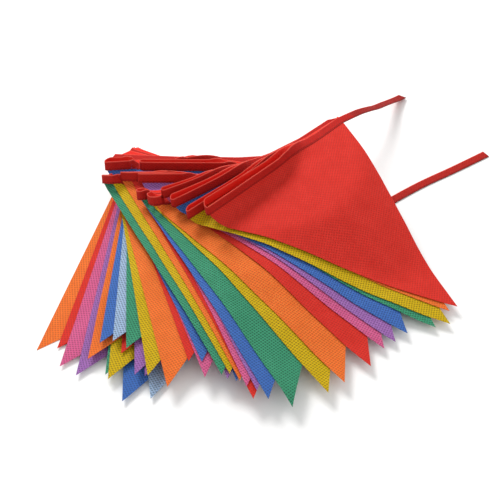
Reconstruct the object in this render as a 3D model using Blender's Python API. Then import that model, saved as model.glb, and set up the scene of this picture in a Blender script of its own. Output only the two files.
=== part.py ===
"""Rainbow pennant bunting, folded back and forth into a pile and fanned out on a table.

Forty triangular pennants of pressed non-woven cloth hang from one red binding tape. The
tape runs to and fro, so each pennant lies on the one below it, turned a little further.
The tape stands on edge at the left ends of the headings and lies flat at the right ones.
Its two bare ends are the ties. Lengths below are in millimetres; the model is in metres.
"""

import math
from collections import namedtuple

import bmesh
import bpy
import numpy as np
from mathutils import Matrix, Vector

MM = 0.001

# Driving sizes of the bunting
PENNANT_WIDTH = 206.0
SHEET = 1.0
TAPE_WIDTH = 10.0
GAP = 0.3
PITCH = SHEET + GAP

# How the pile lies
SLOPE = 0.45  # steepest fall of the cloth beside the pile
CURL_END = 7.0  # width of the curled strip at the last crease
CREASES = (  # places from the left corner where the standing tape may change its angle
    0.0, 5.0, 10.0, 16.0, 23.0, 31.0, 41.0, 53.0, 67.0, 83.0, 100.0, 118.0, 136.0, 154.0, 172.0, 190.0,
)
FLAT_FROM = 120.0  # x + LEAN * y beyond which every heading lies flat
LEAN = 0.35
RAMP = 60.0  # length over which the standing tape lies down
NEARBY = 0.7  # how far towards the next crease the tape must be clear
LOOP_REACH = 5.0  # how far a standing loop swings out past the left corners
LOOP_ROOM = 6.0  # room for the loop beside a left corner
LOOP_FRONT = 3.0  # how far in front of its heading a loop still reaches
CLEARANCE = 0.6  # least distance of the standing tape from the cloth that lies on it
EDGE_ROOM = 2.0  # a heading rises over this distance from the cloth that lies on it
NEST_ROOM = 1.2  # least distance of one standing tape behind another
TAPE_BEYOND = 1.0  # bare tape past each corner where the heading ends flat
FOLD_ROOM = 2.5  # from the outermost of two corners to the flat fold between them

# The level top of the pile, which holds all the headings, and the rings around it
PILE_CENTRE = (-20.0, 70.0)
PILE_EDGE = (
    (114, 62), (119, 105), (118, 150), (92, 170), (40, 172), (-20, 174), (-80, 175),
    (-135, 172), (-162, 150), (-176, 118), (-178, 82), (-165, 52), (-135, 22), (-100, -4),
    (-62, -22), (-25, -27), (12, -26), (48, -18), (80, 0), (102, 28),
)
RING_STEPS = (0.0, 40.0, 85.0, 130.0, 180.0)

Pennant = namedtuple(
    "Pennant", "colour tip_x tip_y left_x left_y turn curl stand width", defaults=(PENNANT_WIDTH,)
)

# From the top of the pile down. tip: where the point lies. left: where the left end of the
# heading would lie if it were flat. turn: the way from the pennant to its heading, in degrees
# from +X. curl: width of the strip that curls up at the left end. stand: how steep the tape
# is there, in degrees. width: along the heading, where it was cut a little narrow.
PENNANTS = (
    Pennant("red", 196, -82, -45, -13, 136.0, 26, 80),
    Pennant("orange", 188, -87, -47, 2, 132.8, 24, 80, 197),
    Pennant("yellow", 187, -102, -60, -8, 134.0, 10, 80),
    Pennant("green", 173, -106, -59, 2, 131.5, 10, 80),
    Pennant("blue", 146, -114, -74, 11, 126.5, 10, 80),
    Pennant("purple", 134, -124, -76, 20, 122.5, 10, 80),
    Pennant("pink", 123, -132, -84, 27, 119.0, 10, 80),
    Pennant("red", 109, -154, -85, 33, 115.0, 10, 80),
    Pennant("orange", 84, -174, -93, 18, 107.0, 10, 72),
    Pennant("yellow", 69, -186, -99, 26, 106.0, 10, 72),
    Pennant("green", 37, -202, -107, 30, 100.5, 8, 72),
    Pennant("blue", 16, -197, -109, 35, 98.0, 6, 72),
    Pennant("purple", 6, -189, -109, 59, 90.5, 5, 72),
    Pennant("pink", -3, -185, -109, 62, 90.5, 5, 72),
    Pennant("red", 3, -196, -120, 64, 91.0, 5, 74),
    Pennant("orange", -9, -178, -130, 66, 91.0, 5, 74),
    Pennant("yellow", -18, -171, -139, 62, 93.0, 8, 78),
    Pennant("green", -25, -172, -149, 65, 90.5, 6, 78),
    Pennant("blue", -12, -176, -110, 86, 89.5, 4, 76),
    Pennant("purple", -20, -174, -109, 92, 89.5, 4, 76),
    Pennant("blue", -43, -157, -147, 88, 95.0, 7, 76),
    Pennant("pink", -40, -172, -143, 97, 91.0, 6, 76),
    Pennant("red", -55, -155, -142, 108, 86.5, 10, 0),
    Pennant("orange", -73, -181, -142, 88, 82.5, 10, 0),
    Pennant("yellow", -91, -169, -143, 103, 78.5, 10, 0),
    Pennant("green", -112, -140, -130, 118, 70.0, 10, 0),
    Pennant("sky", -125, -131, -127, 122, 66.0, 10, 0),
    Pennant("blue", -137, -131, -124, 126, 62.5, 10, 0),
    Pennant("purple", -103, -166, -122, 113, 71.5, 10, 0),
    Pennant("purple", -94, -166, -115, 110, 72.0, 10, 0),
    Pennant("red", -117, -141, -122, 124, 68.0, 10, 0),
    Pennant("orange", -147, -146, -127, 124, 63.0, 10, 0),
    Pennant("yellow", -127, -168, -131, 112, 69.0, 10, 0),
    Pennant("green", -130, -162, -128, 117, 67.5, 10, 0),
    Pennant("sky", -88, -186, -128, 87, 76.5, 10, 0),
    Pennant("blue", -113, -189, -126, 87, 71.0, 10, 0),
    Pennant("purple", -157, -160, -131, 116, 63.0, 10, 0),
    Pennant("pink", -173, -149, -130, 122, 59.0, 10, 0),
    Pennant("red", -178, -127, -130, 138, 57.0, 10, 62),
    Pennant("orange", -197, -128, -127, 145, 54.0, 10, 62),
)

# Where the two ties run: x, y and height of the middle of the tape
Place = namedtuple("Place", "x y z")
UPPER_TIE = (
    Place(105, 147, 50.6), Place(117, 161, 45), Place(128, 174, 38), Place(138, 187, 30),
    Place(148, 202, 22), Place(157, 216, 14), Place(166, 229, 7), Place(174, 240, 2),
)
LOWER_TIE = (
    Place(58, 6, 0.6), Place(76, 8, 0.6), Place(94, 24, 0.6), Place(116, 45, 0.6),
    Place(142, 66, 0.6), Place(180, 94, 0.6), Place(218, 118, 0.6), Place(256, 143, 0.6),
)

# sRGB colours of the cloths, as 0 to 1
CLOTH_COLOURS = {
    "red": (0.80, 0.16, 0.14),
    "orange": (0.93, 0.44, 0.20),
    "yellow": (0.82, 0.70, 0.10),
    "green": (0.25, 0.58, 0.41),
    "blue": (0.24, 0.39, 0.72),
    "purple": (0.57, 0.36, 0.66),
    "pink": (0.84, 0.36, 0.56),
    "sky": (0.60, 0.70, 0.80),
}


def smoothstep(x):
    x = min(max(x, 0.0), 1.0)
    return x * x * (3.0 - 2.0 * x)


def linear(channel):
    return channel / 12.92 if channel <= 0.04045 else ((channel + 0.055) / 1.055) ** 2.4


def cloth_material(name, colour, roughness):
    material = bpy.data.materials.new(name)
    material.use_nodes = True
    shader = material.node_tree.nodes["Principled BSDF"]
    shader.inputs["Base Color"].default_value = (*map(linear, colour), 1.0)
    shader.inputs["Roughness"].default_value = roughness
    shader.inputs["Metallic"].default_value = 0.0
    return material


class Layer:
    """One pennant's place in the pile. s runs along its heading, t from the heading to the tip."""

    def __init__(self, index, row):
        self.index = index
        self.row = row
        self.level = (len(PENNANTS) - 1 - index) * PITCH
        self.half = row.width / 2
        self.tip = np.array((row.tip_x, row.tip_y), float)
        turn = math.radians(row.turn)
        self.back = np.array((math.cos(turn), math.sin(turn)))
        self.along = np.array((math.sin(turn), -math.cos(turn)))
        self.middle = np.array((row.left_x, row.left_y)) + self.half * self.along
        fall = self.tip - self.middle
        self.drop = float(-fall @ self.back)
        self.skew = float(fall @ self.along) / self.drop
        self.creases = [crease - self.half for crease in CREASES]
        self.angles = [0.0] * len(CREASES)

    def plan(self, s, t):
        return self.middle + (s + self.skew * t) * self.along - t * self.back

    def local(self, x, y):
        away = np.array((x, y)) - self.middle
        t = -float(away @ self.back)
        return float(away @ self.along) - self.skew * t, t

    def curl(self, s):
        """Width of the curled strip at s. Its edge is a straight crease across the pennant."""
        share = (s - self.creases[0]) / (self.creases[-1] - self.creases[0])
        return self.row.curl + (min(CURL_END, self.row.curl) - self.row.curl) * share

    def clear_of(self, point):
        """Distance from a point to this pennant, its tape and its left loop; negative on them."""
        s, t = self.local(*point)
        slant = self.drop / math.hypot(self.drop, self.half)
        beside = (abs(s) - self.half * (1.0 - max(t, 0.0) / self.drop)) * slant
        if t < LOOP_FRONT:
            beside -= LOOP_ROOM
        return max(beside, -t - GAP - TAPE_WIDTH)

    def allowed(self, s, above):
        """Steepest angle of the tape at s that clears the pennants and tape lying on it."""
        steepest = math.radians(self.row.stand)
        x, y = self.plan(s, 0.0)
        angle = steepest * smoothstep((FLAT_FROM - x - LEAN * y) / RAMP)
        for layer in above:
            footprint = [self.plan(s, self.curl(s) * share) for share in (0.0, 0.4, 0.8)]
            clear = min(layer.clear_of(point) for point in footprint)
            free = steepest * smoothstep((clear - CLEARANCE) / EDGE_ROOM)
            along, ahead = layer.local(x, y)
            if ahead < -NEST_ROOM:
                free = max(free, layer.stand(along))
            angle = min(angle, free)
        return angle

    def find_stand(self, above):
        """How far the tape stands at each crease, given what lies on it there and close by."""
        stops = self.creases
        for index, s in enumerate(stops):
            before = s + NEARBY * (stops[max(index - 1, 0)] - s)
            after = s + NEARBY * (stops[min(index + 1, len(stops) - 1)] - s)
            angle = min(self.allowed(place, above) for place in (before, s, after))
            self.angles[index] = angle if angle > math.radians(4) else 0.0

    @property
    def stand_end(self):
        """Where along the heading the strip below the tape is flat again."""
        standing = [index for index, angle in enumerate(self.angles) if angle > 0.0]
        return self.creases[min(standing[-1] + 1, len(CREASES) - 1)] if standing else None

    def stand(self, s):
        """Angle of the tape above level at s, in radians."""
        return float(np.interp(s, self.creases, self.angles, right=0.0))

    def curled(self, s, t, level):
        """A point of the sheet's lower face and the way its upper face looks."""
        width = self.curl(s)
        angle = self.stand(s) if t < width else 0.0
        if angle < 1e-3:
            return np.append(self.plan(s, t), level), np.array((0.0, 0.0, 1.0))
        radius = width / angle
        run = width - t
        turned = min(run / radius, angle)
        beyond = max(run - width, 0.0)
        flat = radius * math.sin(turned) + beyond * math.cos(angle)
        rise = radius * (1.0 - math.cos(turned)) + beyond * math.sin(angle)
        point = np.append(self.plan(s, width) + flat * self.back, level + rise)
        normal = np.append(-math.sin(turned) * self.back, math.cos(turned))
        return point, normal


def ring_nodes():
    """Plan places of the rings around the pile, one row for each ring."""
    centre = np.array(PILE_CENTRE)
    edge = np.array(PILE_EDGE, float)
    away = edge - centre
    away /= np.linalg.norm(away, axis=1)[:, None]
    return np.array([edge + step * away for step in RING_STEPS])


def ring_triangles(rings):
    """Corner indices (ring, place) of the triangles between the rings."""
    count = rings.shape[1]
    triangles = []
    for ring in range(rings.shape[0] - 1):
        for place in range(count):
            after = (place + 1) % count
            inner, outer = ring, ring + 1
            triangles.append(((inner, place), (outer, place), (outer, after)))
            triangles.append(((inner, place), (outer, after), (inner, after)))
    return triangles


def touched_nodes(layer, rings, triangles):
    """Which ring nodes belong to a triangle that this pennant lies on."""
    rows = int(layer.drop / 3.0)
    samples = []
    for row in range(rows + 1):
        t = layer.drop * row / rows
        half = layer.half * (1.0 - t / layer.drop)
        columns = max(int(half / 2.0), 1)
        samples += [layer.plan(half * (2.0 * c / columns - 1.0), t) for c in range(columns + 1)]
    points = np.array(samples)
    touched = np.zeros(rings.shape[:2], bool)
    for corners in triangles:
        a, b, c = (rings[corner] for corner in corners)
        matrix = np.linalg.inv(np.column_stack((b - a, c - a)))
        share = (points - a) @ matrix.T
        inside = (share >= -0.01).all(axis=1) & (share.sum(axis=1) <= 1.01)
        if inside.any():
            for corner in corners:
                touched[corner] = True
    return touched


def drape_heights(layers, rings, triangles):
    """Height of each layer at each ring node: on what lies below it, falling no steeper than SLOPE."""
    flat = rings.reshape(-1, 2)
    apart = np.linalg.norm(flat[:, None] - flat[None], axis=2)
    support = np.zeros(rings.shape[:2])
    heights = {}
    for layer in reversed(layers):
        touched = touched_nodes(layer, rings, triangles)
        height = support.copy()
        height[0] = layer.level
        height = (height.reshape(-1)[None] - SLOPE * apart).max(axis=1).reshape(support.shape)
        height[0] = layer.level
        heights[layer.index] = height
        support = np.where(touched, np.maximum(support, height + PITCH), support)
    return heights


def draped_field(rings, height):
    """The whole pile's top at one layer, as a mesh: a level face and the rings around it."""
    field = bmesh.new()
    nodes = [
        [field.verts.new((*place, z)) for place, z in zip(ring, row)]
        for ring, row in zip(rings, height)
    ]
    field.faces.new(nodes[0])
    for corners in ring_triangles(rings):
        field.faces.new([nodes[ring][place] for ring, place in corners])
    return field


def cut(patch, point, normal, clear, faces=None):
    chosen = list(patch.faces) if faces is None else faces
    edges = {edge for face in chosen for edge in face.edges}
    verts = {vert for face in chosen for vert in face.verts}
    bmesh.ops.bisect_plane(
        patch,
        geom=chosen + list(edges) + list(verts),
        dist=1e-4,
        plane_co=(*point, 0.0),
        plane_no=(*normal, 0.0),
        clear_outer=clear,
    )


def strip_faces(patch, layer, end):
    """Faces of the curled strip, as far as the given place along the heading."""
    found = []
    for face in patch.faces:
        s, t = layer.local(*face.calc_center_median().xy)
        if t < layer.curl(s) and s < end:
            found.append(face)
    return found


def crease_cut(patch, layer, share, faces):
    """Cuts along the line that lies at a share of the curled strip's width."""
    ends = [layer.plan(s, layer.curl(s) * share) for s in (layer.creases[0], layer.creases[-1])]
    way = (ends[1] - ends[0]) / np.linalg.norm(ends[1] - ends[0])
    cut(patch, ends[0], (-way[1], way[0]), False, faces)


def pennant_patch(layer, rings, height):
    """The pennant's lower face on the pile, cut to its triangle and creased along its heading."""
    patch = draped_field(rings, height)
    cut(patch, layer.plan(0.0, 0.0), layer.back, True)
    for side in (-1.0, 1.0):
        edge = layer.plan(side * layer.half, 0.0) - layer.tip
        outward = side * np.array((edge[1], -edge[0]))
        cut(patch, layer.tip, outward / np.linalg.norm(outward), True)
    end = layer.stand_end
    if end is None:
        return patch
    crease_cut(patch, layer, 1.0, None)
    cut(patch, layer.plan(end, 0.0), layer.along, False, strip_faces(patch, layer, layer.half))
    for share in (1.0 / 3.0, 2.0 / 3.0):
        crease_cut(patch, layer, share, strip_faces(patch, layer, end))
    for s in layer.creases[1:]:
        if s < end:
            cut(patch, layer.plan(s, 0.0), layer.along, False, strip_faces(patch, layer, end))
    return patch


def thickened(patch, layer):
    """A closed sheet on the patch, in millimetres."""
    solid = bmesh.new()
    lower, upper = {}, {}
    for vert in patch.verts:
        s, t = layer.local(vert.co.x, vert.co.y)
        point, normal = layer.curled(s, t, vert.co.z)
        lower[vert] = solid.verts.new(point)
        upper[vert] = solid.verts.new(point + normal * SHEET)
    for face in patch.faces:
        ring = list(face.verts)
        if face.normal.z < 0.0:
            ring.reverse()
        solid.faces.new([upper[vert] for vert in ring])
        solid.faces.new([lower[vert] for vert in reversed(ring)])
    for edge in patch.edges:
        if len(edge.link_faces) == 1:
            face = edge.link_faces[0]
            ring = list(face.verts)
            if face.normal.z < 0.0:
                ring.reverse()
            a, b = edge.verts
            if ring[(ring.index(a) + 1) % len(ring)] != b:
                a, b = b, a
            solid.faces.new((lower[a], lower[b], upper[b], upper[a]))
    return solid


def place_in_scene(name, solid, material, origin, turn, parent):
    """Turns a mesh in millimetres into an object in metres with its origin at a given point."""
    mesh = bpy.data.meshes.new(name)
    solid.to_mesh(mesh)
    solid.free()
    mesh.transform(Matrix.Scale(MM, 4))
    place = Matrix.Translation(Vector(origin) * MM) @ Matrix.Rotation(turn, 4, "Z")
    mesh.transform(place.inverted())
    mesh.materials.append(material)
    mesh.shade_smooth()
    mesh.set_sharp_from_angle(angle=math.radians(35))
    thing = bpy.data.objects.new(name, mesh)
    bpy.context.scene.collection.objects.link(thing)
    thing.parent = parent
    thing.location = place.to_translation()
    thing.rotation_euler = (0.0, 0.0, turn)
    return thing


Section = namedtuple("Section", "low high facing")


def heading_sections(layer):
    """Sections of the tape along one heading, from its left end to past its right corner."""
    end = layer.stand_end
    if end is None:
        stops = [-layer.half - TAPE_BEYOND]
    else:
        stops = [s for s in layer.creases if s <= end]
    stops.append(layer.half + TAPE_BEYOND)
    sections = []
    for s in stops:
        ends = []
        for t in (-GAP, -GAP - TAPE_WIDTH):
            point, normal = layer.curled(s, t, layer.level)
            ends.append(point + normal * SHEET / 2)
        sections.append(Section(ends[0], ends[1], normal))
    return sections


def bezier(a, b, c, d, u):
    v = 1.0 - u
    return v**3 * a + 3 * v * v * u * b + 3 * v * u * u * c + u**3 * d


def loop_sections(front, back, front_layer, back_layer):
    """The standing loop that joins two headings at the left."""
    ways = [-np.append(layer.along, 0.0) * LOOP_REACH for layer in (front_layer, back_layer)]
    sections = []
    for u in (0.25, 0.5, 0.75):
        ends = [
            bezier(start, start + ways[0], stop + ways[1], stop, u)
            for start, stop in ((front.low, back.low), (front.high, back.high))
        ]
        sections.append(Section(ends[0], ends[1], None))
    return sections


def fold_sections(upper, lower, upper_layer, lower_layer, side):
    """A flat fold, one pitch deep, that joins two headings at the right (1) or the left (-1)."""
    out = np.append(upper_layer.along + lower_layer.along, 0.0) * side
    out /= np.linalg.norm(out)
    across = np.cross((0.0, 0.0, 1.0), out) * side
    crease = max(float(end @ out) for section in (upper, lower) for end in section[:2]) + FOLD_ROOM
    middles = [(section.low + section.high) / 2 for section in (upper, lower)]
    lengths = [crease - float(middle @ out) for middle in middles]
    offsets = [float(middle @ across) for middle in middles]
    offset = (offsets[0] * lengths[1] + offsets[1] * lengths[0]) / sum(lengths)
    sections = []
    for degrees in (0, 45, 90, 135, 180):
        turned = math.radians(degrees)
        height = middles[0][2] - PITCH / 2 * (1.0 - math.cos(turned))
        middle = out * (crease + PITCH / 2 * math.sin(turned)) + across * offset
        middle[2] = height
        facing = out * math.sin(turned) + np.array((0.0, 0.0, math.cos(turned)))
        half = across * TAPE_WIDTH / 2
        sections.append(Section(middle - half, middle + half, facing))
    return sections


def tie_sections(places):
    """Sections of a bare end, whose width lies level across its way."""
    points = [np.array(place, float) for place in places]
    sections = []
    for index, point in enumerate(points):
        before = points[max(index - 1, 0)]
        after = points[min(index + 1, len(points) - 1)]
        way = after - before
        way /= np.linalg.norm(way)
        across = np.cross((0.0, 0.0, 1.0), way)
        across /= np.linalg.norm(across)
        half = across * TAPE_WIDTH / 2
        sections.append(Section(point - half, point + half, None))
    return sections


def tape_sections(layers):
    """The whole tape in one run: upper tie, the headings to and fro, lower tie."""
    run = list(reversed(tie_sections(UPPER_TIE)))
    headings = [heading_sections(layer) for layer in layers]
    for index in range(0, len(layers), 2):
        front, back = headings[index], headings[index + 1]
        pair = layers[index], layers[index + 1]
        run += reversed(front)
        if pair[0].angles[0] > 0.0 and pair[1].angles[0] > 0.0:
            run += loop_sections(front[0], back[0], *pair)
        else:
            run += fold_sections(front[0], back[0], *pair, -1.0)
        run += back
        if index + 2 < len(layers):
            below = headings[index + 2]
            run += fold_sections(back[-1], below[-1], pair[1], layers[index + 2], 1.0)
    run += tie_sections(LOWER_TIE)
    return run


def tape_solid(run):
    """A flat ribbon SHEET thick through the sections."""
    solid = bmesh.new()
    middles = [(section.low + section.high) / 2 for section in run]
    rings = []
    side = None
    for index, section in enumerate(run):
        before = middles[max(index - 1, 0)]
        after = middles[min(index + 1, len(run) - 1)]
        across = section.high - section.low
        normal = np.cross(after - before, across)
        if section.facing is not None:
            sign = 1.0 if normal @ section.facing > 0 else -1.0
            normal = section.facing * sign
        normal = normal / np.linalg.norm(normal)
        if side is not None and normal @ side < -0.9:
            normal = -normal
        side = normal
        half = normal * SHEET / 2
        corners = (
            section.low - half, section.high - half, section.high + half, section.low + half
        )
        rings.append([solid.verts.new(corner) for corner in corners])
    for here, there in zip(rings[:-1], rings[1:]):
        for corner in range(4):
            after = (corner + 1) % 4
            solid.faces.new((here[corner], here[after], there[after], there[corner]))
    solid.faces.new(reversed(rings[0]))
    solid.faces.new(rings[-1])
    bmesh.ops.recalc_face_normals(solid, faces=solid.faces)
    return solid


def stand_on_origin(root):
    """Moves everything so that the middle of the underside's bounds is the origin."""
    bpy.context.view_layer.update()
    corners = [thing.matrix_world @ vert.co for thing in root.children for vert in thing.data.vertices]
    low = [min(corner[axis] for corner in corners) for axis in range(3)]
    high = [max(corner[axis] for corner in corners) for axis in range(3)]
    root.location = (-(low[0] + high[0]) / 2, -(low[1] + high[1]) / 2, -low[2])


def clear_scene():
    for thing in list(bpy.data.objects):
        bpy.data.objects.remove(thing)


def main():
    clear_scene()
    layers = [Layer(index, row) for index, row in enumerate(PENNANTS)]
    for layer in layers:
        layer.find_stand(layers[: layer.index])
    rings = ring_nodes()
    heights = drape_heights(layers, rings, ring_triangles(rings))
    bunting = bpy.data.objects.new("bunting", None)
    bpy.context.scene.collection.objects.link(bunting)
    cloths = {
        name: cloth_material(f"nonwoven_{name}", colour, 0.8)
        for name, colour in CLOTH_COLOURS.items()
    }
    for layer in layers:
        patch = pennant_patch(layer, rings, heights[layer.index])
        patch.normal_update()
        solid = thickened(patch, layer)
        patch.free()
        name = f"pennant_{layer.index + 1:02d}_{layer.row.colour}"
        origin = (*layer.middle, layer.level)
        turn = math.radians(layer.row.turn - 90.0)
        place_in_scene(name, solid, cloths[layer.row.colour], origin, turn, bunting)
    tape = tape_solid(tape_sections(layers))
    tape_cloth = cloth_material("binding_tape_red", CLOTH_COLOURS["red"], 0.7)
    place_in_scene("heading_tape", tape, tape_cloth, UPPER_TIE[0], 0.0, bunting)
    stand_on_origin(bunting)


main()
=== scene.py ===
import math

import bpy
import numpy as np
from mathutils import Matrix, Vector


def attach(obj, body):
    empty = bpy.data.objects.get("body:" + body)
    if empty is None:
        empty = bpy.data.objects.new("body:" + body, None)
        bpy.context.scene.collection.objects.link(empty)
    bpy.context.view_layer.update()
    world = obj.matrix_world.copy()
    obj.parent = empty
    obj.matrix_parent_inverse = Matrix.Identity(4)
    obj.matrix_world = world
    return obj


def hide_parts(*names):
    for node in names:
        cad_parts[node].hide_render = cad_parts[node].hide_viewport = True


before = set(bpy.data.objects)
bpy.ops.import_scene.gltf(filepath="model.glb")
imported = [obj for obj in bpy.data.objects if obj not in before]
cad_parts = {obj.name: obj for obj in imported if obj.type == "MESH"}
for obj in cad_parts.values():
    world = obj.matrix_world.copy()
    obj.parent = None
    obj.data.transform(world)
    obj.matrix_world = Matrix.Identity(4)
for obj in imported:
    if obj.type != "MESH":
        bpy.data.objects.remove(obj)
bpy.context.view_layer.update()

mm = 0.001  # the tables below are in millimetres, and the meshes in metres

# The pile of folded bunting. The pennants and the tape are worked out from these sizes. The
# level top carries all the headings, and the cloths fall outside it, ring by ring.
pile = {
    "middle": (30.874, 21.551),  # the frame's origin, in the pile's own coordinates
    "pennantWidth": 206.0,
    "room": 1.0,  # height that one layer takes
    "pitch": 1.3,  # from one layer to the next
    "slope": 0.45,  # steepest fall of the cloth beside the pile
    "centre": (-20.0, 70.0),  # of the level top
    "edge": (  # of the level top
        (114, 62), (119, 105), (118, 150), (92, 170), (40, 172), (-20, 174), (-80, 175),
        (-135, 172), (-162, 150), (-176, 118), (-178, 82), (-165, 52), (-135, 22), (-100, -4),
        (-62, -22), (-25, -27), (12, -26), (48, -18), (80, 0), (102, 28),
    ),
    "ringSteps": (0.0, 40.0, 85.0, 130.0, 180.0),  # from the edge to each ring
    "samples": (3.0, 2.0),  # down and across a cloth, to find which rings it lies on
    "slack": 0.01,  # share of a triangle by which a sample may be outside it
    "softness": 6.0,  # how far the cloth rounds off the steps of the pile
    "cell": 2.5,  # of the height map
}

# The red tape that binds the headings
tape = {
    "width": 10.0,
    "gap": 0.3,  # from the tape's lower edge to the heading line
    "ply": 0.26,  # thickness of one ply, without the heading between them
    "spread": 0.35,  # from the tape's middle to the middle of a ply, over a heading
    "open": {"heading": 1.0, "loop": 0.6, "fold": 0.5, "tie": 0.45},  # shares of the spread
    "creases": (  # from the left corner, where the stand of a heading can change
        0.0, 5.0, 10.0, 16.0, 23.0, 31.0, 41.0, 53.0, 67.0, 83.0, 100.0, 118.0, 136.0, 154.0,
        172.0, 190.0,
    ),
    "curlEnd": 7.0,  # width of the curled strip at the last crease
    "curlShares": (0.0, 0.4, 0.8),  # places in the curled strip that have to be clear
    "flatFrom": 120.0,  # x + lean * y past which every heading lies flat
    "lean": 0.35,
    "ramp": 60.0,  # before that, over which a heading goes down
    "nearby": 0.7,  # share of the way to the next crease that has to be clear too
    "leastStand": 4.0,  # degrees, a heading that would stand less lies flat
    "clearance": 0.6,  # from a cloth above, before a heading can stand
    "edgeRoom": 2.0,  # more clearance, over which it comes up fully
    "nestRoom": 1.2,  # behind a heading above, past which it stands as that one does
    "loopReach": 5.0,  # how far a loop is drawn out past its two headings
    "loopRoom": 6.0,  # kept beside a heading for its loop
    "loopFront": 3.0,  # how far in front of the heading that room goes
    "beyond": 1.0,  # tape past the right corner
    "foldRoom": 2.5,  # from the corners to where a flat fold turns
    "turnSections": 9,  # in each loop and fold
    "step": 4.0,  # between the sections along a heading
    "upperTie": (  # x, y and height of the tape's middle
        (105, 147, 50.6), (117, 161, 45), (128, 174, 38), (138, 187, 30),
        (148, 202, 22), (157, 216, 14), (166, 229, 7), (174, 240, 2),
    ),
    "tieSteps": 6,  # sections between two of the tie's points
    "tieBlend": 4,  # sections over which the painted shade of the ties begins
    "tieLean": 3.0,  # degrees, how far a raised tie leans back from its middle to its end
    "tieClear": 0.4,  # least height of a leaning tie's lower edge
    "lowerTie": (
        (58, 6, 0.6), (76, 8, 0.6), (94, 24, 0.6), (116, 45, 0.6),
        (142, 66, 0.6), (180, 94, 0.6), (218, 118, 0.6), (256, 143, 0.6),
    ),
    "smooth": 50.0,  # degrees, sharper edges stay sharp
}

# From the top of the pile down: colour, tip x and y, left corner x and y, turn of the heading,
# width of its curled strip, stand of the tape, and the width of the one that was cut narrower
pennantRows = (
    ("red", 196, -82, -45, -13, 136.0, 26, 80),
    ("orange", 188, -87, -47, 2, 132.8, 24, 80, 197),
    ("yellow", 187, -102, -60, -8, 134.0, 10, 80),
    ("green", 173, -106, -59, 2, 131.5, 10, 80),
    ("blue", 146, -114, -74, 11, 126.5, 10, 80),
    ("purple", 134, -124, -76, 20, 122.5, 10, 80),
    ("pink", 123, -132, -84, 27, 119.0, 10, 80),
    ("red", 109, -154, -85, 33, 115.0, 10, 80),
    ("orange", 84, -174, -93, 18, 107.0, 10, 72),
    ("yellow", 69, -186, -99, 26, 106.0, 10, 72),
    ("green", 37, -202, -107, 30, 100.5, 8, 72),
    ("blue", 16, -197, -109, 35, 98.0, 6, 72),
    ("purple", 6, -189, -109, 59, 90.5, 5, 72),
    ("pink", -3, -185, -109, 62, 90.5, 5, 72),
    ("red", 3, -196, -120, 64, 91.0, 5, 74),
    ("orange", -9, -178, -130, 66, 91.0, 5, 74),
    ("yellow", -18, -171, -139, 62, 93.0, 8, 78),
    ("green", -25, -172, -149, 65, 90.5, 6, 78),
    ("blue", -12, -176, -110, 86, 89.5, 4, 76),
    ("purple", -20, -174, -109, 92, 89.5, 4, 76),
    ("blue", -43, -157, -147, 88, 95.0, 7, 76),
    ("pink", -40, -172, -143, 97, 91.0, 6, 76),
    ("red", -55, -155, -142, 108, 86.5, 10, 0),
    ("orange", -73, -181, -142, 88, 82.5, 10, 0),
    ("yellow", -91, -169, -143, 103, 78.5, 10, 0),
    ("green", -112, -140, -130, 118, 70.0, 10, 0),
    ("sky", -125, -131, -127, 122, 66.0, 10, 0),
    ("blue", -137, -131, -124, 126, 62.5, 10, 0),
    ("purple", -103, -166, -122, 113, 71.5, 10, 0),
    ("purple", -94, -166, -115, 110, 72.0, 10, 0),
    ("red", -117, -141, -122, 124, 68.0, 10, 0),
    ("orange", -147, -146, -127, 124, 63.0, 10, 0),
    ("yellow", -127, -168, -131, 112, 69.0, 10, 0),
    ("green", -130, -162, -128, 117, 67.5, 10, 0),
    ("sky", -88, -186, -128, 87, 76.5, 10, 0),
    ("blue", -113, -189, -126, 87, 71.0, 10, 0),
    ("purple", -157, -160, -131, 116, 63.0, 10, 0),
    ("pink", -173, -149, -130, 122, 59.0, 10, 0),
    ("red", -178, -127, -130, 138, 57.0, 10, 62),
    ("orange", -197, -128, -127, 145, 54.0, 10, 62),
)


def smoothstep(x):
    x = min(max(x, 0.0), 1.0)
    return x * x * (3.0 - 2.0 * x)


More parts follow.
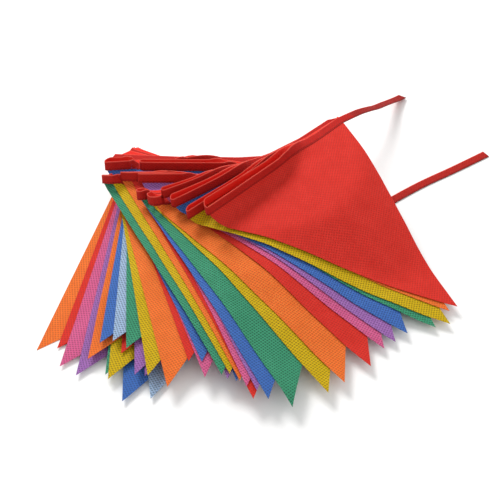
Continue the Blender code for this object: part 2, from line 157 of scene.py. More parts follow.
# One pennant's place in the pile. s runs along its heading, t from the heading to the tip.
class Layer:
    def __init__(self, index, row):
        self.index = index
        self.colour, tipX, tipY, leftX, leftY, turn, self.curlWidth, self.steepest, *narrow = row
        self.level = (len(pennantRows) - 1 - index) * pile["pitch"]
        self.half = (narrow[0] if narrow else pile["pennantWidth"]) / 2
        turn = math.radians(turn)
        self.back = np.array((math.cos(turn), math.sin(turn)))
        self.along = np.array((math.sin(turn), -math.cos(turn)))
        self.middle = np.array((leftX, leftY)) + self.half * self.along
        fall = np.array((tipX, tipY), float) - self.middle
        self.drop = float(-fall @ self.back)
        self.skew = float(fall @ self.along) / self.drop
        self.creases = [crease - self.half for crease in tape["creases"]]
        self.angles = [0.0] * len(self.creases)

    def plan(self, s, t):  # x and y of a place that lies flat
        return self.middle + (s + self.skew * t) * self.along - t * self.back

    def local(self, x, y):  # s and t of a place
        away = np.array((x, y)) - self.middle
        t = -float(away @ self.back)
        return float(away @ self.along) - self.skew * t, t

    def curl(self, s):  # width of the curled strip
        share = (s - self.creases[0]) / (self.creases[-1] - self.creases[0])
        return self.curlWidth + (min(tape["curlEnd"], self.curlWidth) - self.curlWidth) * share

    def clearOf(self, point):  # how far a place is from this cloth, its tape and its loop
        s, t = self.local(*point)
        slant = self.drop / math.hypot(self.drop, self.half)
        beside = (abs(s) - self.half * (1.0 - max(t, 0.0) / self.drop)) * slant
        if t < tape["loopFront"]:
            beside -= tape["loopRoom"]
        return max(beside, -t - tape["gap"] - tape["width"])

    def allowed(self, s, above):  # how far the heading can stand, with those cloths above it
        steepest = math.radians(self.steepest)
        x, y = self.plan(s, 0.0)
        angle = steepest * smoothstep((tape["flatFrom"] - x - tape["lean"] * y) / tape["ramp"])
        for layer in above:
            footprint = [self.plan(s, self.curl(s) * share) for share in tape["curlShares"]]
            clear = min(layer.clearOf(point) for point in footprint)
            free = steepest * smoothstep((clear - tape["clearance"]) / tape["edgeRoom"])
            along, ahead = layer.local(x, y)
            if ahead < -tape["nestRoom"]:
                free = max(free, layer.stand(along))
            angle = min(angle, free)
        return angle

    def findStand(self, above):
        stops = self.creases
        for index, s in enumerate(stops):
            before = s + tape["nearby"] * (stops[max(index - 1, 0)] - s)
            after = s + tape["nearby"] * (stops[min(index + 1, len(stops) - 1)] - s)
            angle = min(self.allowed(place, above) for place in (before, s, after))
            self.angles[index] = angle if angle > math.radians(tape["leastStand"]) else 0.0

    # Where the mesh of the cloth and of the tape has its columns, so the two bend alike
    def stations(self):
        stops = [*self.creases, self.half]
        places = []
        for a, b in zip(stops[:-1], stops[1:]):
            count = math.ceil((b - a) / tape["step"])
            places += [a + (b - a) * step / count for step in range(count)]
        return [*places, self.half]

    def stand(self, s):
        return float(np.interp(s, self.creases, self.angles, right=0.0))

    # Middle of the sheet's thickness at (s, t)
    def curled(self, s, t):
        width = self.curl(s)
        angle = self.stand(s) if t < width else 0.0
        if angle < 1e-3:  # lies flat
            place = self.plan(s, t)
            return np.append(place, self.heightAt(place) + pile["room"] / 2)
        radius = width / angle
        run = width - t
        turned = min(run / radius, angle)
        beyond = max(run - width, 0.0)
        flat = radius * math.sin(turned) + beyond * math.cos(angle)
        rise = radius * (1.0 - math.cos(turned)) + beyond * math.sin(angle)
        place = self.plan(s, width) + flat * self.back
        normal = np.append(-math.sin(turned) * self.back, math.cos(turned))
        return np.append(place, self.heightAt(place) + rise) + normal * pile["room"] / 2


# The height map: each layer's height at the nodes of the rings, spread over the map's cells

def ringNodes():
    centre = np.array(pile["centre"])
    edge = np.array(pile["edge"], float)
    away = edge - centre
    away /= np.linalg.norm(away, axis=1)[:, None]
    return np.array([edge + step * away for step in pile["ringSteps"]])


def ringTriangles(rings):
    count = rings.shape[1]
    triangles = []
    for ring in range(rings.shape[0] - 1):
        for place in range(count):
            after = (place + 1) % count
            triangles.append(((ring, place), (ring + 1, place), (ring + 1, after)))
            triangles.append(((ring, place), (ring + 1, after), (ring, after)))
    return triangles


def touchedNodes(layer, rings, triangles):
    downStep, acrossStep = pile["samples"]
    rows = int(layer.drop / downStep)
    samples = []
    for row in range(rows + 1):
        t = layer.drop * row / rows
        half = layer.half * (1.0 - t / layer.drop)
        columns = max(int(half / acrossStep), 1)
        samples += [layer.plan(half * (2.0 * c / columns - 1.0), t) for c in range(columns + 1)]
    points = np.array(samples)
    touched = np.zeros(rings.shape[:2], bool)
    for corners in triangles:
        a, b, c = (rings[corner] for corner in corners)
        share = (points - a) @ np.linalg.inv(np.column_stack((b - a, c - a))).T
        near = (share >= -pile["slack"]).all(axis=1) & (share.sum(axis=1) <= 1.0 + pile["slack"])
        if near.any():
            for corner in corners:
                touched[corner] = True
    return touched


def drapeHeights(layers, rings, triangles):
    flat = rings.reshape(-1, 2)
    apart = np.linalg.norm(flat[:, None] - flat[None], axis=2)
    support = np.zeros(rings.shape[:2])
    heights = {}
    for layer in reversed(layers):
        touched = touchedNodes(layer, rings, triangles)
        height = support.copy()
        height[0] = layer.level  # the edge of the level top
        reached = height.reshape(-1)[None] - pile["slope"] * apart
        height = reached.max(axis=1).reshape(support.shape)
        height[0] = layer.level
        heights[layer.index] = height
        support = np.where(touched, np.maximum(support, height + pile["pitch"]), support)
    return heights


# How much each ring node counts in each cell of the map. It is the same for every layer.
def cellWeights(rings, triangles):
    margin = 2 * pile["softness"] + pile["cell"]
    low = rings.reshape(-1, 2).min(axis=0) - margin
    count = np.ceil((rings.reshape(-1, 2).max(axis=0) + margin - low) / pile["cell"]).astype(int)
    xs, ys = (low[axis] + pile["cell"] * np.arange(count[axis]) for axis in (0, 1))
    cells = np.stack(np.meshgrid(xs, ys, indexing="ij"), axis=-1).reshape(-1, 2)
    weights = np.zeros((len(cells), rings.shape[0] * rings.shape[1]))
    seen = np.zeros(len(cells), bool)
    for corners in triangles:
        a, b, c = (rings[corner] for corner in corners)
        share = (cells - a) @ np.linalg.inv(np.column_stack((b - a, c - a))).T
        inside = (share >= -1e-9).all(axis=1) & (share.sum(axis=1) <= 1.0 + 1e-9) & ~seen
        spots = [ring * rings.shape[1] + place for ring, place in corners]
        weights[np.ix_(inside, spots)] = np.column_stack((1.0 - share.sum(axis=1), share))[inside]
        seen |= inside
    left = ~seen  # on the level top, and outside the last ring
    nearest = ((cells[left][:, None] - rings.reshape(-1, 2)[None]) ** 2).sum(axis=2).argmin(axis=1)
    weights[np.flatnonzero(left), nearest] = 1.0
    return xs, ys, weights


# The same rounding for every layer, so no layer comes through the next
def softened(grid):
    reach = int(2 * pile["softness"] / pile["cell"])
    steps = np.arange(-reach, reach + 1) * pile["cell"] / pile["softness"]
    kernel = np.exp(-steps**2 / 2)
    kernel /= kernel.sum()
    for axis in (0, 1):
        padded = np.pad(grid, [(reach, reach) if a == axis else (0, 0) for a in (0, 1)], "edge")
        cells = np.arange(grid.shape[axis])
        shares = [np.take(padded, cells + step, axis) for step in range(len(kernel))]
        grid = sum(weight * share for weight, share in zip(kernel, shares))
    return grid


def heightReader(low, grid):
    def heightAt(place):
        x = (place[0] - low[0]) / pile["cell"]
        y = (place[1] - low[1]) / pile["cell"]
        i = min(max(int(x), 0), grid.shape[0] - 2)
        j = min(max(int(y), 0), grid.shape[1] - 2)
        u, v = x - i, y - j
        near = (1 - v) * grid[i, j] + v * grid[i, j + 1]
        far = (1 - v) * grid[i + 1, j] + v * grid[i + 1, j + 1]
        return (1 - u) * near + u * far

    return heightAt


# Soft folds that run through all the cloths as they lie on each other, and ones of a single
# cloth, by its place in the pile, where 0 is the top one. Each fold: x and y of the middle,
# direction in degrees, half length, half width, and height, which is below 0 for a trough.
pileFolds = (
    (92, 12, -62, 95, 20, 1.7),
    (150, -18, -20, 60, 13, 1.0),
    (52, -45, -52, 70, 12, 1.1),
    (18, -88, -60, 80, 11, 1.2),
    (-22, -92, -72, 70, 10, 1.0),
    (-62, -70, -84, 70, 11, 1.2),
    (-104, -58, -104, 75, 12, 1.3),
    (-142, -88, -118, 60, 10, 1.0),
)
clothFolds = {
    0: ((60, 42, -50, 60, 9, 0.9), (118, 52, -70, 45, 10, 1.0), (150, -50, -25, 40, 8, 0.7)),
    1: ((150, -66, -22, 40, 4, -0.3),),
    2: ((120, -62, -24, 45, 5, 0.3),),
    7: ((40, -72, -42, 55, 6, 0.32), (88, -122, -45, 30, 5, -0.28)),
    8: ((12, -62, -50, 50, 7, -0.32), (52, -126, -52, 38, 7, 0.34), (66, -142, -56, 26, 5, -0.3)),
    9: ((40, -136, -55, 40, 5, 0.3),),
    10: ((-26, -88, -56, 45, 7, 0.34), (10, -146, -60, 42, 8, -0.34), (26, -176, -66, 24, 5, 0.3)),
    17: ((-68, -62, -60, 60, 5, 0.3), (-42, -118, -62, 40, 5, -0.3)),
    22: ((-62, -96, -74, 40, 5, 0.3),),
    23: ((-92, -60, -80, 55, 7, 0.34), (-78, -128, -84, 36, 6, -0.32)),
    24: ((-104, -80, -84, 50, 5, 0.32), (-94, -130, -84, 28, 5, -0.3)),
    25: ((-118, -84, -92, 40, 6, 0.32),),
    26: ((-126, -66, -94, 50, 6, -0.3),),
    36: ((-140, -100, -112, 40, 6, 0.3),),
    37: ((-146, -70, -114, 55, 6, -0.3), (-168, -124, -120, 30, 5, 0.3)),
    39: ((-160, -60, -118, 55, 8, 0.34), (-186, -110, -122, 34, 6, -0.32)),
}


def foldHeights(xs, ys, folds):
    total = np.zeros(np.broadcast(xs, ys).shape)
    for x, y, turn, reach, width, height in folds:
        way = math.cos(math.radians(turn)), math.sin(math.radians(turn))
        along = ((xs - x) * way[0] + (ys - y) * way[1]) / reach
        aside = ((ys - y) * way[0] - (xs - x) * way[1]) / width
        total += height * np.exp(-(aside**2) - along**4)
    return total


layers = [Layer(index, row) for index, row in enumerate(pennantRows)]
for layer in layers:
    layer.findStand(layers[: layer.index])
rings = ringNodes()
triangles = ringTriangles(rings)
nodeHeights = drapeHeights(layers, rings, triangles)
mapXs, mapYs, mapWeights = cellWeights(rings, triangles)
shared = foldHeights(mapXs[:, None], mapYs[None], pileFolds)
for layer in layers:
    draped = mapWeights @ nodeHeights[layer.index].reshape(-1)
    grid = softened(draped.reshape(len(mapXs), len(mapYs)))
    grid += shared + foldHeights(mapXs[:, None], mapYs[None], clothFolds.get(layer.index, ()))
    layer.heightAt = heightReader((mapXs[0], mapYs[0]), grid)
print("pile: height map done")


def toFrame(point):
    x, y, z = point
    return (x - pile["middle"][0]) * mm, (y - pile["middle"][1]) * mm, z * mm


# Materials

def linear(hexColour):  # sRGB hex to linear RGBA
    channels = [int(hexColour[i : i + 2], 16) / 255 for i in (1, 3, 5)]
    return (*[c / 12.92 if c <= 0.04045 else ((c + 0.055) / 1.055) ** 2.4 for c in channels], 1.0)


def addNode(material, kind, settings=None, inputs=None):
    tree = material.node_tree
    node = tree.nodes.new(kind)
    for name, value in (settings or {}).items():
        setattr(node, name, value)
    for name, value in (inputs or {}).items():
        socket = node.inputs[name]
        if isinstance(value, bpy.types.NodeSocket):
            tree.links.new(value, socket)
        else:
            socket.default_value = value
    return node


# Spunbond polypropylene, 80 g a square metre: fine fibres laid flat and pressed together with
# rows of short dashes, so it is matt and papery, and each dash is darker and a little smoother.
clothLook = {
    "dash": (2.7, 2.2),  # mm, about 1.2 on the real cloth, drawn coarser so that it shows
    "dashTurn": 38.0,  # degrees
    "dashEdge": (0.46, 0.22),  # shares of a dash's room, where it begins and is pressed fully
    "blotch": 14.0,  # mm, where the fibres lie thicker or thinner
    "thick": 0.95,  # brightness where they lie thicker
    "thin": (1.05, 0.004),  # and where they lie thinner, with a trace of white
    "fibre": 0.7,  # mm, drawn coarser than the real 0.02 mm
    "fibreHeight": 0.3,  # share of the dashes' depth
    "depth": 0.2,  # mm, of the dashes
    "rough": (0.9, 0.68),  # between the dashes and on them
    "through": (0.45, 0.6),  # share of the light that enters the thin cloth, and its reach in mm
    "colours": {  # colour of the cloth, and how dark its dashes are
        "red": ("#CE2D22", 0.26),
        "orange": ("#E4702B", 0.34),
        "yellow": ("#C8A80A", 0.52),
        "green": ("#3D926E", 0.60),
        "blue": ("#406BB3", 0.48),
        "purple": ("#9B68AC", 0.46),
        "pink": ("#CE5D8B", 0.44),
        "sky": ("#9AB2CE", 0.58),
    },
    "tape": ("#B41A12", 0.20),
}


def makeCloth(name, hexColour, dashDark):
    material = bpy.data.materials.new(name)
    material.use_nodes = True
    nodes = material.node_tree.nodes
    links = material.node_tree.links
    shader = nodes["Principled BSDF"]
    coords = addNode(material, "ShaderNodeUVMap", {"uv_map": "cloth"})
    inMm = addNode(
        material, "ShaderNodeMapping", {},
        {"Vector": coords.outputs["UV"], "Scale": (1.0 / mm, 1.0 / mm, 1.0 / mm)},
    )
    dashLength, dashWidth = clothLook["dash"]
    turned = addNode(
        material, "ShaderNodeMapping", {"vector_type": "POINT"},
        {"Vector": inMm.outputs["Vector"],
         "Rotation": (0.0, 0.0, math.radians(clothLook["dashTurn"])),
         "Scale": (1.0 / dashLength, 1.0 / dashWidth, 1.0)},
    )
    dots = addNode(
        material, "ShaderNodeTexVoronoi", {"voronoi_dimensions": "2D", "feature": "F1"},
        {"Vector": turned.outputs["Vector"], "Scale": 1.0, "Randomness": 0.10},
    )
    dash = addNode(
        material, "ShaderNodeMapRange", {"interpolation_type": "SMOOTHSTEP"},
        {"Value": dots.outputs["Distance"], "From Min": clothLook["dashEdge"][0],
         "From Max": clothLook["dashEdge"][1]},
    )
    clouds = addNode(
        material, "ShaderNodeTexNoise", {"noise_dimensions": "2D"},
        {"Vector": inMm.outputs["Vector"], "Scale": 1.0 / clothLook["blotch"], "Detail": 5.0,
         "Roughness": 0.6},
    )
    fibres = addNode(
        material, "ShaderNodeTexNoise", {"noise_dimensions": "2D"},
        {"Vector": inMm.outputs["Vector"], "Scale": 1.0 / clothLook["fibre"], "Detail": 3.0,
         "Roughness": 0.7, "Distortion": 1.2},
    )
    colour = linear(hexColour)
    thinner, white = clothLook["thin"]
    thick = (*[clothLook["thick"] * channel for channel in colour[:3]], 1.0)
    thin = (*[min(1.0, thinner * channel + white) for channel in colour[:3]], 1.0)
    pressed = (*[(1.0 - dashDark) * channel for channel in colour[:3]], 1.0)
    cloudy = addNode(
        material, "ShaderNodeMapRange", {},
        {"Value": clouds.outputs["Fac"], "From Min": 0.3, "From Max": 0.7},
    )
    ground = addNode(
        material, "ShaderNodeMix", {"data_type": "RGBA"},
        {"Factor": cloudy.outputs["Result"], "A": thick, "B": thin},
    )
    cloth = addNode(
        material, "ShaderNodeMix", {"data_type": "RGBA"},
        {"Factor": dash.outputs["Result"], "A": ground.outputs["Result"], "B": pressed},
    )
    links.new(cloth.outputs["Result"], shader.inputs["Base Color"])
    rough = addNode(
        material, "ShaderNodeMapRange", {},
        {"Value": dash.outputs["Result"], "To Min": clothLook["rough"][0],
         "To Max": clothLook["rough"][1]},
    )
    links.new(rough.outputs["Result"], shader.inputs["Roughness"])
    relief = addNode(
        material, "ShaderNodeMath", {"operation": "MULTIPLY_ADD"},
        {0: fibres.outputs["Fac"], 1: clothLook["fibreHeight"], 2: dash.outputs["Result"]},
    )
    bump = addNode(
        material, "ShaderNodeBump", {"invert": True},
        {"Height": relief.outputs["Value"], "Strength": 0.5, "Distance": clothLook["depth"] * mm},
    )
    links.new(bump.outputs["Normal"], shader.inputs["Normal"])
    shader.inputs["IOR"].default_value = 1.49
    shader.inputs["Specular IOR Level"].default_value = 0.2
    shader.inputs["Subsurface Weight"].default_value = clothLook["through"][0]
    shader.inputs["Subsurface Radius"].default_value = (1.0, 1.0, 1.0)
    shader.inputs["Subsurface Scale"].default_value = clothLook["through"][1] * mm
    return material


# The tape is the same cloth, cut in a strip, with a painted highlight along the fold, painted
# shade along its cut edges and on the ties, painted light on the ply inside the loops, and a row
# of straight stitches in darker thread that closes it near its two lower edges.
tapeLook = {
    "fold": ("#E25446", 1.4),  # colour and half width in mm of the painted highlight where light catches the rounded fold
    "thread": ("#6E100C", 0.7),  # half width in mm, about three times the real one, to show
    "stitchIn": 1.5,  # mm from the lower edges
    "stitch": (2.8, 0.8),  # mm from one stitch to the next, and the thread's share of that
    "edge": ("#5E0E0A", 0.8),  # width in mm of the painted shade along the two cut edges, where the tape's edge throws a thin shadow
    # Colour, and its share over the tape's own
    "inside": ("#E22A1E", 0.9),  # painted light on the ply inside the loops, where light falls into them and they show brighter
    "bare": ("#72140F", 0.62),  # painted shade on the ties, folded tight with no cloth inside, which show darker than the rest of the tape
}


def lineMask(material, away, reach):  # 1 on the line and 0 from reach on, both in mm
    return addNode(
        material, "ShaderNodeMapRange", {"interpolation_type": "SMOOTHSTEP"},
        {"Value": away, "From Min": reach * mm, "From Max": 0.0},
    ).outputs["Result"]


def makeTapeCloth():
    material = makeCloth("spunbondTape_red", *clothLook["tape"])
    shader = material.node_tree.nodes["Principled BSDF"]
    ground = shader.inputs["Base Color"].links[0].from_socket
    coords = addNode(material, "ShaderNodeUVMap", {"uv_map": "cloth"})
    strip = addNode(material, "ShaderNodeSeparateXYZ", {}, {"Vector": coords.outputs["UV"]})
    side = addNode(
        material, "ShaderNodeMath", {"operation": "SUBTRACT"},
        {0: strip.outputs["Y"], 1: tape["width"] * mm},
    )
    fromFold = addNode(
        material, "ShaderNodeMath", {"operation": "ABSOLUTE"}, {0: side.outputs["Value"]}
    )
    offSeam = addNode(
        material, "ShaderNodeMath", {"operation": "SUBTRACT"},
        {0: fromFold.outputs["Value"], 1: (tape["width"] - tapeLook["stitchIn"]) * mm},
    )
    fromSeam = addNode(
        material, "ShaderNodeMath", {"operation": "ABSOLUTE"}, {0: offSeam.outputs["Value"]}
    )
    stitches = addNode(
        material, "ShaderNodeMath", {"operation": "MULTIPLY"},
        {0: strip.outputs["X"], 1: 1.0 / (tapeLook["stitch"][0] * mm)},
    )
    place = addNode(
        material, "ShaderNodeMath", {"operation": "FRACT"}, {0: stitches.outputs["Value"]}
    )
    onTop = addNode(
        material, "ShaderNodeMath", {"operation": "LESS_THAN"},
        {0: place.outputs["Value"], 1: tapeLook["stitch"][1]},
    )
    seam = addNode(
        material, "ShaderNodeMath", {"operation": "MULTIPLY"},
        {0: lineMask(material, fromSeam.outputs["Value"], tapeLook["thread"][1]),
         1: onTop.outputs["Value"]},
    )
    # painted shade along the two cut edges
    edge = addNode(
        material, "ShaderNodeMapRange", {"interpolation_type": "SMOOTHSTEP"},
        {"Value": fromFold.outputs["Value"],
         "From Min": (tape["width"] - tapeLook["edge"][1]) * mm, "From Max": tape["width"] * mm},
    )
    # painted light: the ply inside the loops is drawn brighter
    inside = addNode(
        material, "ShaderNodeMath", {"operation": "LESS_THAN"}, {0: side.outputs["Value"], 1: 0.0}
    )
    paintedLoopLight = addNode(
        material, "ShaderNodeMath", {"operation": "MULTIPLY"},
        {0: inside.outputs["Value"], 1: tapeLook["inside"][1]},
    )
    # painted shade on the ties
    bare = addNode(material, "ShaderNodeAttribute", {"attribute_name": "bare"})
    paintedTieShadeShare = addNode(
        material, "ShaderNodeMath", {"operation": "MULTIPLY"},
        {0: bare.outputs["Fac"], 1: tapeLook["bare"][1]},
    )
    # Laid over the cloth in turn: painted light inside the loops, painted shade on the ties, the
    # thread, painted shade along the cut edges, and a painted highlight along the fold
    layersOfColour = (
        (paintedLoopLight.outputs["Value"], tapeLook["inside"][0]),
        (paintedTieShadeShare.outputs["Value"], tapeLook["bare"][0]),
        (seam.outputs["Value"], tapeLook["thread"][0]),
        (edge.outputs["Result"], tapeLook["edge"][0]),
        (lineMask(material, fromFold.outputs["Value"], tapeLook["fold"][1]), tapeLook["fold"][0]),
    )
    for factor, hexColour in layersOfColour:
        ground = addNode(
            material, "ShaderNodeMix", {"data_type": "RGBA"},
            {"Factor": factor, "A": ground, "B": linear(hexColour)},
        ).outputs["Result"]
    material.node_tree.links.new(ground, shader.inputs["Base Color"])
    return material


cloths = {
    name: makeCloth(f"spunbondCloth_{name}", *look) for name, look in clothLook["colours"].items()
}
tapeCloth = makeTapeCloth()


# Pennants

pennant = {
    "thickness": 0.42,
    "hidden": 5.0,  # cloth inside the tape, above the heading line
    "rows": 54,
    "crowd": 1.5,  # rows lie closer together near the heading
    "weld": 0.02,
    "rollStep": (0.31, 0.17),  # m, each cloth takes its pattern from another part of the roll
    "smooth": 40.0,  # degrees, sharper edges stay sharp
}


def deselectAll():
    if bpy.context.object and bpy.context.object.mode != "OBJECT":
        bpy.ops.object.mode_set(mode="OBJECT")
    bpy.ops.object.select_all(action="DESELECT")


def applyModifiers(piece):
    deselectAll()
    piece.select_set(True)
    bpy.context.view_layer.objects.active = piece
    for modifier in list(piece.modifiers):
        bpy.ops.object.modifier_apply(modifier=modifier.name)


def makePennant(layer):
    stations = layer.stations()
    deselectAll()
    bpy.ops.mesh.primitive_grid_add(
        x_subdivisions=len(stations) - 1, y_subdivisions=pennant["rows"], size=1.0,
        location=(0.0, 0.0, 0.0),
    )
    piece = bpy.context.object
    piece.name = f"cloth{layer.index + 1:02d}_{layer.colour}"
    mesh = piece.data
    flatPlaces = np.zeros((len(mesh.vertices), 2))
    for vert in mesh.vertices:
        station = stations[round((vert.co.x + 0.5) * (len(stations) - 1))]
        down = (0.5 - vert.co.y) ** pennant["crowd"]  # 0 at the heading, 1 at the tip
        t = -pennant["hidden"] + down * (layer.drop + pennant["hidden"])
        s = station * (1.0 - max(t, 0.0) / layer.drop)
        flatPlaces[vert.index] = s, t
        vert.co = toFrame(layer.curled(s, t))
    offset = np.array(pennant["rollStep"]) * layer.index
    uvs = mesh.uv_layers[0]
    uvs.name = "cloth"
    for loop in mesh.loops:
        uvs.data[loop.index].uv = Vector(flatPlaces[loop.vertex_index] * mm + offset)
    bpy.ops.object.mode_set(mode="EDIT")
    bpy.ops.mesh.select_all(action="SELECT")
    bpy.ops.mesh.remove_doubles(threshold=pennant["weld"] * mm)  # the tip's row becomes one point
    bpy.ops.object.mode_set(mode="OBJECT")
    solid = piece.modifiers.new("thickness", "SOLIDIFY")
    solid.thickness = pennant["thickness"] * mm
    solid.offset = 0.0
    solid.use_even_offset = False
    piece.data.materials.append(cloths[layer.colour])
    applyModifiers(piece)
    bpy.ops.object.shade_smooth_by_angle(angle=math.radians(pennant["smooth"]))
    return piece


for layer in layers:
    piece = makePennant(layer)
    node = f"pennant_{layer.index + 1:02d}_{layer.colour}"
    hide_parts(node)
    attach(piece, "root")


# Tape: one strip, folded lengthwise over the headings, from the upper tie to the lower one.
# A section is the strip's lower edge, its folded upper edge and how open it is.

def headingSections(layer):
    stops = [*layer.stations(), layer.half + tape["beyond"]]
    if layer.angles[0] == 0.0:
        stops.insert(0, -stops[-1])
    sections = []
    for s in stops:
        low = layer.curled(s, -tape["gap"])
        high = layer.curled(s, -tape["gap"] - tape["width"])
        sections.append((low, high, tape["open"]["heading"]))
    return sections


def bezier(a, b, c, d, u):
    v = 1.0 - u
    return v**3 * a + 3 * v * v * u * b + 3 * v * u * u * c + u**3 * d


# A standing loop, drawn out to the left between the corners of two headings
def loopSections(front, back, frontLayer, backLayer):
    ways = [-np.append(layer.along, 0.0) * tape["loopReach"] for layer in (frontLayer, backLayer)]
    sections = []
    for u in np.linspace(0.1, 0.9, tape["turnSections"]):
        low, high = (
            bezier(start, start + ways[0], stop + ways[1], stop, u)
            for start, stop in ((front[0], back[0]), (front[1], back[1]))
        )
        sections.append((low, high, tape["open"]["loop"]))
    return sections


# A flat fold: past the corners, half a circle down to the heading below. side is 1 at the right.
def foldSections(upper, lower, upperLayer, lowerLayer, side):
    out = np.append(upperLayer.along + lowerLayer.along, 0.0) * side
    out /= np.linalg.norm(out)
    across = np.cross((0.0, 0.0, 1.0), out) * side
    ends = [*upper[:2], *lower[:2]]
    crease = max(float(end @ out) for end in ends) + tape["foldRoom"]
    middles = [(section[0] + section[1]) / 2 for section in (upper, lower)]
    lengths = [crease - float(middle @ out) for middle in middles]
    offsets = [float(middle @ across) for middle in middles]
    offset = (offsets[0] * lengths[1] + offsets[1] * lengths[0]) / sum(lengths)
    radius = (middles[0][2] - middles[1][2]) / 2
    sections = []
    for turned in np.linspace(0.0, math.pi, tape["turnSections"]):
        middle = out * (crease + radius * math.sin(turned)) + across * offset
        middle[2] = middles[0][2] - radius * (1.0 - math.cos(turned))
        half = across * tape["width"] / 2
        sections.append((middle - half, middle + half, tape["open"]["fold"]))
    return sections


# A smooth line through the points, with steps between each two
def spline(points, between):
    points = [np.array(point, float) for point in points]
    ends = [2 * points[0] - points[1], *points, 2 * points[-1] - points[-2]]
    line = []
    for a, b, c, d in zip(ends[:-3], ends[1:-2], ends[2:-1], ends[3:]):
        for u in np.arange(between) / between:
            line.append(
                0.5 * (2 * b + (c - a) * u + (2 * a - 5 * b + 4 * c - d) * u**2
                       + (3 * b - a - 3 * c + d) * u**3)
            )
    return line + [points[-1]]


def tieSections(places):
    points = spline(places, tape["tieSteps"])
    sections = []
    for index, point in enumerate(points):
        way = points[min(index + 1, len(points) - 1)] - points[max(index - 1, 0)]
        way /= np.linalg.norm(way)
        across = np.cross((0.0, 0.0, 1.0), way)
        across /= np.linalg.norm(across)
        room = min(max((point[2] - tape["tieClear"]) * 2 / tape["width"], 0.0), 1.0)
        twist = smoothstep(2 * index / len(points))
        lean = min(math.radians(tape["tieLean"]) * twist, math.asin(room))
        leaning = across * math.cos(lean) - np.cross(way, across) * math.sin(lean)
        half = leaning * tape["width"] / 2
        sections.append((point - half, point + half, tape["open"]["tie"]))
    return sections


def tapeSections():
    run = list(reversed(tieSections(tape["upperTie"])))
    headings = [headingSections(layer) for layer in layers]
    for index in range(0, len(layers), 2):
        front, back = headings[index], headings[index + 1]
        pair = layers[index], layers[index + 1]
        run += reversed(front)
        if pair[0].angles[0] > 0.0 and pair[1].angles[0] > 0.0:
            run += loopSections(front[0], back[0], *pair)
        else:
            run += foldSections(front[0], back[0], *pair, -1.0)
        run += back
        if index + 2 < len(layers):
            below = headings[index + 2]
            run += foldSections(back[-1], below[-1], pair[1], layers[index + 2], 1.0)
    return run + tieSections(tape["lowerTie"])


# The strip's way round the fold: share of the tape's width, and side (1 front, -1 back)
foldProfile = (
    (0.0, 1.0), (0.3, 1.0), (0.62, 1.0), (0.9, 1.0), (0.975, 0.8), (1.0, 0.0),
    (0.975, -0.8), (0.9, -1.0), (0.62, -1.0), (0.3, -1.0), (0.0, -1.0),
)


def makeTape():
    run = tapeSections()
    middles = np.array([(low + high) / 2 for low, high, _ in run])
    lengths = np.concatenate(([0.0], np.cumsum(np.linalg.norm(np.diff(middles, axis=0), axis=1))))
    deselectAll()
    bpy.ops.mesh.primitive_grid_add(
        x_subdivisions=len(run) - 1, y_subdivisions=len(foldProfile) - 1, size=1.0,
        location=(0.0, 0.0, 0.0),
    )
    piece = bpy.context.object
    piece.name = "bindingTape"
    mesh = piece.data
    places = np.zeros((len(mesh.vertices), 2))
    upperLength = len(tieSections(tape["upperTie"]))
    lowerLength = len(tieSections(tape["lowerTie"]))
    bare = mesh.attributes.new("bare", "FLOAT", "POINT")  # 1 on the ties, where the tape is painted in shade
    normals = []
    for index, (low, high, _) in enumerate(run):
        way = middles[min(index + 1, len(run) - 1)] - middles[max(index - 1, 0)]
        normal = np.cross(way, high - low)
        normals.append(normal / np.linalg.norm(normal))
    for vert in mesh.vertices:
        index = round((vert.co.x + 0.5) * (len(run) - 1))
        row = round((vert.co.y + 0.5) * (len(foldProfile) - 1))
        low, high, wide = run[index]
        share, sideways = foldProfile[row]
        point = low + (high - low) * share + normals[index] * sideways * wide * tape["spread"]
        across = share if sideways >= 0 else 2.0 - share
        places[vert.index] = lengths[index], across * tape["width"]
        vert.co = toFrame(point)
        onTie = max(upperLength - index, index - (len(run) - 1 - lowerLength))
        bare.data[vert.index].value = smoothstep(onTie / tape["tieBlend"])
    uvs = mesh.uv_layers[0]
    uvs.name = "cloth"
    for loop in mesh.loops:
        uvs.data[loop.index].uv = Vector(places[loop.vertex_index] * mm)
    solid = piece.modifiers.new("thickness", "SOLIDIFY")
    solid.thickness = tape["ply"] * mm
    solid.offset = 0.0
    solid.use_even_offset = False
    mesh.materials.append(tapeCloth)
    applyModifiers(piece)
    bpy.ops.object.shade_smooth_by_angle(angle=math.radians(tape["smooth"]))
    return piece, lengths[-1]


tapePiece, tapeLength = makeTape()
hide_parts("heading_tape")
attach(tapePiece, "root")
print(f"tape: {tapeLength * mm:.2f} m")


# Stage, lights and camera. Places and sizes are in metres, and powers in watts.

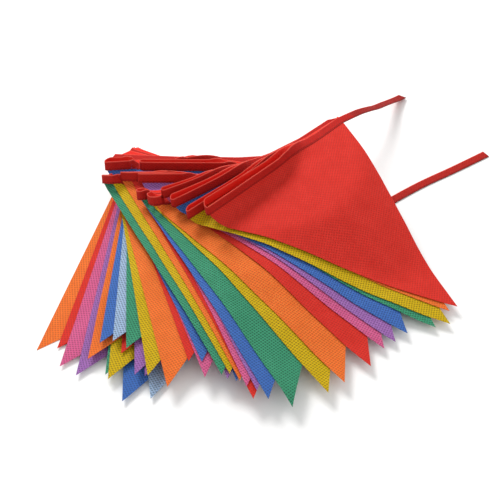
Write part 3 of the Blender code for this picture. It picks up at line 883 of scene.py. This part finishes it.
stage = {
    "floorSize": 6.0,
    "floor": "#F7F7F6",
    "keyPlace": (-0.75, 1.2, 1.4),
    "keySize": 0.75,
    "keyPower": 31.0,
    "fillPlace": (0.9, -1.2, 1.6),
    "fillSize": 1.6,
    "fillPower": 7.0,
    "sky": 0.68,
    "eyeHeight": 46.5,  # degrees above the table
    "eyeAway": 1150.0,  # mm from the middle of the pile
    "lens": 82.8,  # mm
    "sensor": 36.0,  # mm
}


def makeFloor():
    deselectAll()
    bpy.ops.mesh.primitive_plane_add(size=stage["floorSize"], location=(0.0, 0.0, 0.0))
    floor = bpy.context.object
    floor.name = "tableTop"
    paint = bpy.data.materials.new("paintedTable_matt")  # smooth matt paint, no grain to see
    paint.use_nodes = True
    shader = paint.node_tree.nodes["Principled BSDF"]
    shader.inputs["Base Color"].default_value = linear(stage["floor"])
    shader.inputs["Roughness"].default_value = 0.7
    floor.data.materials.append(paint)


def makeLight(name, place, size, power):
    light = bpy.data.lights.new(name, "AREA")
    light.size = size
    light.energy = power
    thing = bpy.data.objects.new(name, light)
    thing.location = place
    thing.rotation_euler = (-Vector(place)).to_track_quat("-Z", "Y").to_euler()
    bpy.context.scene.collection.objects.link(thing)


def makeCamera():
    camera = bpy.data.cameras.new("camera")
    camera.lens = stage["lens"]
    camera.sensor_width = stage["sensor"]
    camera.clip_start = 0.05
    thing = bpy.data.objects.new("camera", camera)
    height = math.radians(stage["eyeHeight"])
    target = Vector(toFrame((0.0, 0.0, 0.0)))
    back = Vector((0.0, -math.cos(height), math.sin(height))) * stage["eyeAway"] * mm
    thing.location = target + back
    thing.rotation_euler = (-back).to_track_quat("-Z", "Y").to_euler()
    bpy.context.scene.collection.objects.link(thing)
    bpy.context.scene.camera = thing


makeFloor()
makeLight("key", stage["keyPlace"], stage["keySize"], stage["keyPower"])
makeLight("fill", stage["fillPlace"], stage["fillSize"], stage["fillPower"])
world = bpy.data.worlds.new("studio")
world.use_nodes = True
world.node_tree.nodes["Background"].inputs["Color"].default_value = (1.0, 1.0, 1.0, 1.0)
world.node_tree.nodes["Background"].inputs["Strength"].default_value = stage["sky"]
bpy.context.scene.world = world
bpy.context.scene.view_settings.view_transform = "Standard"  # keeps the cloths' full colours
makeCamera()
print("stage done")
